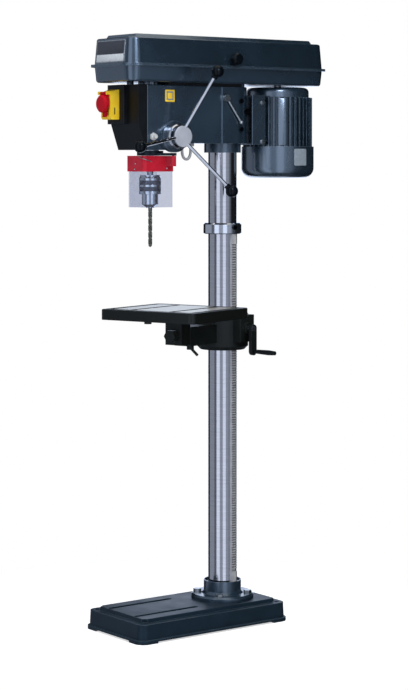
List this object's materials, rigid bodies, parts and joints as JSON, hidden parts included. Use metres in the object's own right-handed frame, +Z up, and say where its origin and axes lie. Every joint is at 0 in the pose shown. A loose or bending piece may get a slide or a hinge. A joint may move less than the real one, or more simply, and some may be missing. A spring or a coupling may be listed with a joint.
{
  "type": "pillar drill",
  "caption": "Floor-standing belt-driven pillar drill with a tilting table raised by rack and crank, chuck guard and three-arm feed.",
  "frame": {"origin": "on the floor at the middle of the base's bolt rectangle", "axes": "+Z up the column, -Y towards the operator, +X to the operator's right"},
  "size_m": [0.3631, 0.6656, 1.4863],
  "materials": {
    "slate_paint": "semi-gloss dark slate blue enamel",
    "black_paint": "satin black enamel on cast iron",
    "motor_paint": "semi-gloss dark slate enamel",
    "column_steel": "ground and polished tube",
    "machined_steel": "turned and ground",
    "chrome": "polished plate",
    "tool_steel": "steam-oxide drill",
    "zinc_screw": "zinc plated",
    "ground_iron": "ground top, painted sides",
    "pulley_metal": "cast and turned",
    "black_plastic": "moulded, fine texture",
    "knob_plastic": "black phenolic",
    "yellow_plastic": "moulded",
    "red_plastic": "moulded",
    "green_plastic": "moulded",
    "clear_plastic": "clear polycarbonate sheet",
    "belt_rubber": "moulded vee belt",
    "cable_rubber": "sheathed cable",
    "spring_steel": "blued strip"
  },
  "bodies": {
    "stand": {"base": "slate_paint", "column_flange": "slate_paint", "flange_bolts": "zinc_screw", "column": "column_steel", "rack_collar": "machined_steel", "head_casting": "slate_paint", "head_screws": "zinc_screw", "front_cover": "black_plastic", "switch_housing": "yellow_plastic", "belt_housing": "slate_paint", "lid_hinges": "zinc_screw", "sleeve_bearings": "machined_steel", "drive_belt": "belt_rubber", "motor_belt": "belt_rubber", "spring_cap": "black_paint", "return_spring": "spring_steel", "cable_loop": "cable_rubber", "cable_glands": "black_plastic"},
    "lift_rack": {"rack": "machined_steel"},
    "bracket": {"table_bracket": "black_paint", "tilt_bolt": "black_paint"},
    "lifting_pinion": {"lift_pinion": "machined_steel"},
    "crank": {"lift_worm": "machined_steel", "crank_arm": "black_paint"},
    "grip": {"crank_grip": "black_plastic"},
    "arm_lock": {"lock_lever": "black_paint"},
    "work_table": {"table": "ground_iron"},
    "quill_slide_body": {"quill": "machined_steel", "quill_bearings": "machined_steel", "guard_clamp": "machined_steel"},
    "guard": {"guard_collar": "red_plastic", "guard_shield": "clear_plastic", "guard_knob": "black_plastic"},
    "spindle_body": {"spindle": "machined_steel", "chuck_body": "machined_steel", "drill_bit": "tool_steel"},
    "sleeve": {"chuck_sleeve": "chrome"},
    "jaw_1": {"chuck_jaw_1": "machined_steel"},
    "jaw_2": {"chuck_jaw_2": "machined_steel"},
    "jaw_3": {"chuck_jaw_3": "machined_steel"},
    "spindle_drive": {"spindle_pulley": "pulley_metal"},
    "idler": {"idler_pulley": "pulley_metal"},
    "motor": {"motor_plate": "slate_paint", "slide_rods": "machined_steel", "motor_body": "motor_paint", "fan_cover": "motor_paint"},
    "rotor": {"motor_shaft": "machined_steel", "motor_pulley": "pulley_metal", "cooling_fan": "black_plastic"},
    "tension": {"tension_lever": "chrome"},
    "feed": {"feed_pinion": "machined_steel", "feed_hub": "chrome", "feed_rods": "chrome", "feed_knobs": "knob_plastic"},
    "depth_stop": {"depth_ring": "machined_steel"},
    "lid": {"belt_lid": "slate_paint", "lid_knob": "knob_plastic"},
    "paddle": {"stop_paddle": "red_plastic"},
    "start": {"start_button": "green_plastic"},
    "stop": {"stop_button": "red_plastic"}
  },
  "joints": [
    {"name": "table_swing", "type": "hinge", "parent": "stand", "child": "lift_rack", "pos_m": [0, 0.111, 0.7], "axis": [0, 0, 1], "continuous": true},
    {"name": "table_lift", "type": "slide", "parent": "lift_rack", "child": "bracket", "axis": [0, 0, 1], "range_m": [-0.55, 0.14]},
    {"name": "lift_pinion_turn", "type": "hinge", "parent": "bracket", "child": "lifting_pinion", "pos_m": [0.05446, 0.11865, 0.73185], "axis": [0.1392, -0.9903, 0], "range_deg": [-2700, 730]},
    {"name": "crank_turn", "type": "hinge", "parent": "bracket", "child": "crank", "pos_m": [0, 0.111, 0.752], "axis": [0.9903, 0.1392, 0], "range_deg": [-32000, 8800]},
    {"name": "grip_turn", "type": "hinge", "parent": "crank", "child": "grip", "pos_m": [0.14854, 0.13188, 0.694], "axis": [0.9903, 0.1392, 0], "continuous": true},
    {"name": "arm_lock_turn", "type": "hinge", "parent": "bracket", "child": "arm_lock", "pos_m": [0.06441, -0.03921, 0.714], "axis": [0, 0, 1], "range_deg": [0, 90]},
    {"name": "table_tilt", "type": "hinge", "parent": "bracket", "child": "work_table", "pos_m": [0.06935, -0.0904, 0.742], "axis": [0.3256, -0.9455, 0], "range_deg": [-45, 45]},
    {"name": "feed_turn", "type": "hinge", "parent": "stand", "child": "feed", "pos_m": [0, -0.086, 1.235], "axis": [-1, 0, 0], "range_deg": [-436.5, 0], "stiffness_Nm_per_rad": 0.105, "springref_deg": 544.31, "deforming": ["return_spring"]},
    {"name": "quill_feed", "type": "slide", "parent": "stand", "child": "quill_slide_body", "axis": [0, 0, 1], "range_m": [-0.0801, 0.0001]},
    {"name": "depth_ring_turn", "type": "hinge", "parent": "feed", "child": "depth_stop", "pos_m": [0, -0.086, 1.235], "axis": [1, 0, 0], "continuous": true},
    {"name": "guard_swing", "type": "hinge", "parent": "quill_slide_body", "child": "guard", "pos_m": [0.057, -0.086, 1.17], "axis": [0, 0, 1], "range_deg": [0, 110]},
    {"name": "motor_spin", "type": "hinge", "parent": "motor", "child": "rotor", "pos_m": [0, 0.292, 1.3], "axis": [0, 0, 1], "continuous": true},
    {"name": "idler_spin", "type": "hinge", "parent": "stand", "child": "idler", "pos_m": [0, 0.045, 1.4], "axis": [0, 0, 1], "continuous": true},
    {"name": "spindle_drive_spin", "type": "hinge", "parent": "stand", "child": "spindle_drive", "pos_m": [0, -0.116, 1.4], "axis": [0, 0, 1], "continuous": true},
    {"name": "spindle_spin", "type": "hinge", "parent": "quill_slide_body", "child": "spindle_body", "pos_m": [0, -0.116, 1.25], "axis": [0, 0, 1], "continuous": true},
    {"name": "chuck_sleeve_turn", "type": "hinge", "parent": "spindle_body", "child": "sleeve", "pos_m": [0, -0.116, 1.11], "axis": [0, 0, 1], "range_deg": [0, 1440]},
    {"name": "jaw_1_slide", "type": "slide", "parent": "spindle_body", "child": "jaw_1", "axis": [0, 0.2079, 0.9781], "range_m": [-0.0001, 0.0081]},
    {"name": "jaw_2_slide", "type": "slide", "parent": "spindle_body", "child": "jaw_2", "axis": [-0.1801, -0.104, 0.9781], "range_m": [-0.0001, 0.0081]},
    {"name": "jaw_3_slide", "type": "slide", "parent": "spindle_body", "child": "jaw_3", "axis": [0.1801, -0.104, 0.9781], "range_m": [-0.0001, 0.0081]},
    {"name": "motor_slide", "type": "slide", "parent": "stand", "child": "motor", "axis": [0, 1, 0], "range_m": [-0.012, 0], "deforming": ["motor_belt"]},
    {"name": "tension_lever_turn", "type": "hinge", "parent": "stand", "child": "tension", "pos_m": [0.06, 0.074, 1.333], "axis": [1, 0, 0], "range_deg": [-61, 1]},
    {"name": "lid_hinge", "type": "hinge", "parent": "stand", "child": "lid", "pos_m": [-0.104, 0.074, 1.41], "axis": [0, -1, 0], "range_deg": [0, 100]},
    {"name": "stop_paddle_turn", "type": "hinge", "parent": "stand", "child": "paddle", "pos_m": [-0.026, -0.2357, 1.342], "axis": [-1, 0, 0], "range_deg": [0, 100]},
    {"name": "start_press", "type": "slide", "parent": "stand", "child": "start", "axis": [0, 1, 0], "range_m": [0, 0.003], "stiffness_N_per_m": 800, "springref_m": -0.002},
    {"name": "stop_press", "type": "slide", "parent": "stand", "child": "stop", "axis": [0, 1, 0], "range_m": [0, 0.003], "stiffness_N_per_m": 800, "springref_m": -0.002}
  ],
  "couplings": [
    {"joint": "lift_pinion_turn", "follows": "table_lift", "rad_per_m": 83.333},
    {"joint": "crank_turn", "follows": "table_lift", "rad_per_m": 1000},
    {"joint": "quill_feed", "follows": "feed_turn", "m_per_rad": 0.0105},
    {"joint": "idler_spin", "follows": "motor_spin", "ratio": 0.81818},
    {"joint": "spindle_drive_spin", "follows": "motor_spin", "ratio": 0.66942},
    {"joint": "spindle_spin", "follows": "motor_spin", "ratio": 0.66942},
    {"joint": "jaw_1_slide", "follows": "chuck_sleeve_turn", "m_per_rad": 0.00031831},
    {"joint": "jaw_2_slide", "follows": "chuck_sleeve_turn", "m_per_rad": 0.00031831},
    {"joint": "jaw_3_slide", "follows": "chuck_sleeve_turn", "m_per_rad": 0.00031831},
    {"joint": "tension_lever_turn", "follows": "motor_slide", "rad_per_m": 87.266}
  ]
}
